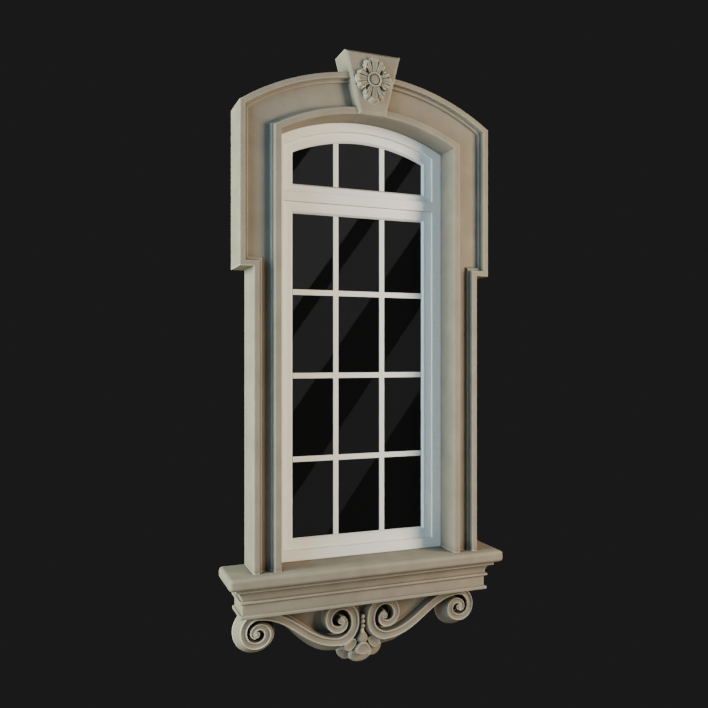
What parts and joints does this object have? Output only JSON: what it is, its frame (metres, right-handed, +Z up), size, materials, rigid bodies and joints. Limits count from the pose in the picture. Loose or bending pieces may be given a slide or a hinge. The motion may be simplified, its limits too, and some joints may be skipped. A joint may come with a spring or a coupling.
{
  "type": "window surround",
  "caption": "Stone window surround with an eared arched architrave, carved keystone, moulded sill and scroll apron, holding a fixed arched window in white-painted frames.",
  "frame": {"origin": "middle of the sill slab's back face, on the wall's plane", "axes": "+Z up, +Y into the wall, +X to the right as seen from in front; everything stands at y = 0 or in front of it"},
  "size_m": [1.568, 0.2657, 3.3319],
  "materials": {
    "limestone": "matte, fine-grained, warm grey-beige",
    "white_paint": "satin white paint on timber",
    "window_glass": "clear, polished"
  },
  "bodies": {
    "root": {"architrave": "limestone", "keystone": "limestone", "sill": "limestone", "sill_moulding": "limestone", "scroll_apron": "limestone", "window_frame": "white_paint", "lower_sash": "white_paint", "upper_sash": "white_paint", "lower_glazing_bars": "white_paint", "upper_glazing_bar_left": "white_paint", "upper_glazing_bar_right": "white_paint", "lower_glass": "window_glass", "upper_glass": "window_glass"}
  },
  "joints": []
}
